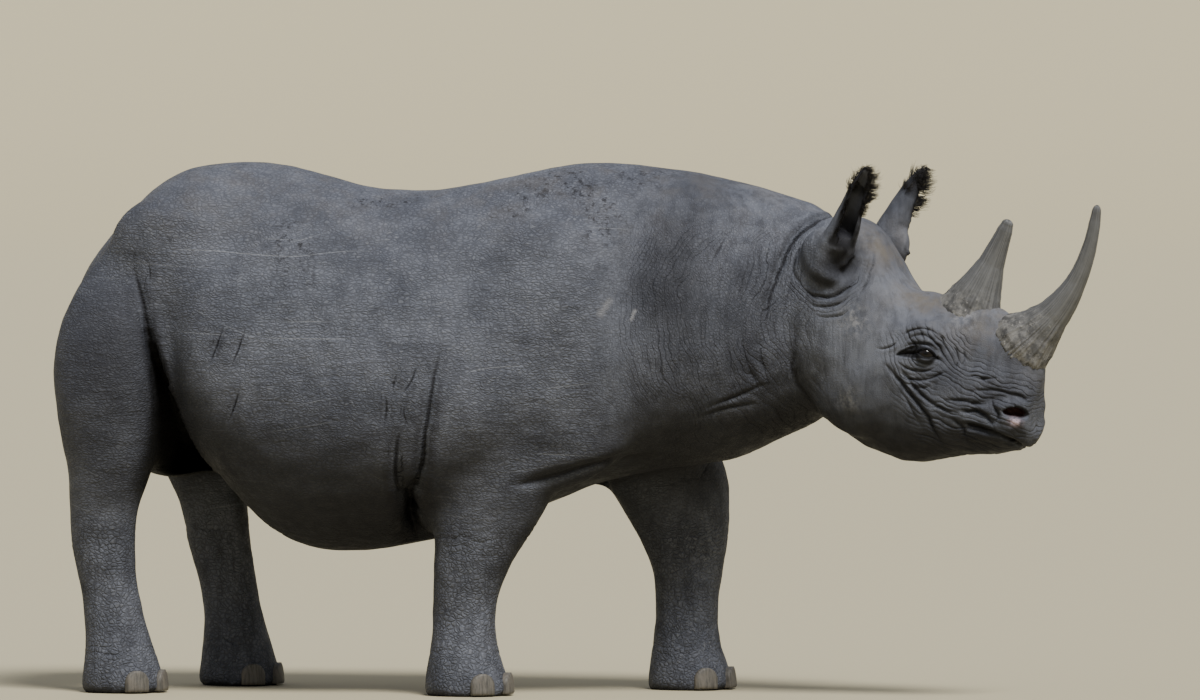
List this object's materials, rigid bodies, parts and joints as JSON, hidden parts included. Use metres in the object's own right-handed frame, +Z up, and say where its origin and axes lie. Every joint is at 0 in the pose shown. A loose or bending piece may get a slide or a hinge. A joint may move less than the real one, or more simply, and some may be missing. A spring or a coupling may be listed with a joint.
{
  "type": "black rhinoceros",
  "caption": "Life-size still model of a standing black rhinoceros in mid-stride, its head turned a little to its right, resting on its four flat soles.",
  "frame": {"origin": "on the floor under the middle of the animal's box", "axes": "+X towards the head, +Y to the animal's left, +Z up; the soles stand on z = 0"},
  "size_m": [3.1232, 0.9466, 1.5586],
  "materials": {
    "skin": "matt, wrinkled grey hide with dry dust in its creases",
    "horn": "satin keratin, smooth towards the tip and rough and fibrous at the base",
    "nail": "matt horn, worn and dusty",
    "eye": "wet gloss, near black brown"
  },
  "bodies": {
    "root": {"trunk": "skin", "neck": "skin", "head": "skin", "ear_right": "skin", "ear_left": "skin", "tail": "skin", "leg_front_right": "skin", "leg_front_left": "skin", "leg_hind_right": "skin", "leg_hind_left": "skin", "eye_right": "eye", "eye_left": "eye", "horn_front": "horn", "horn_rear": "horn", "nail_front_right_1": "nail", "nail_front_right_2": "nail", "nail_front_right_3": "nail", "nail_front_left_1": "nail", "nail_front_left_2": "nail", "nail_front_left_3": "nail", "nail_hind_right_1": "nail", "nail_hind_right_2": "nail", "nail_hind_right_3": "nail", "nail_hind_left_1": "nail", "nail_hind_left_2": "nail", "nail_hind_left_3": "nail"}
  },
  "joints": []
}
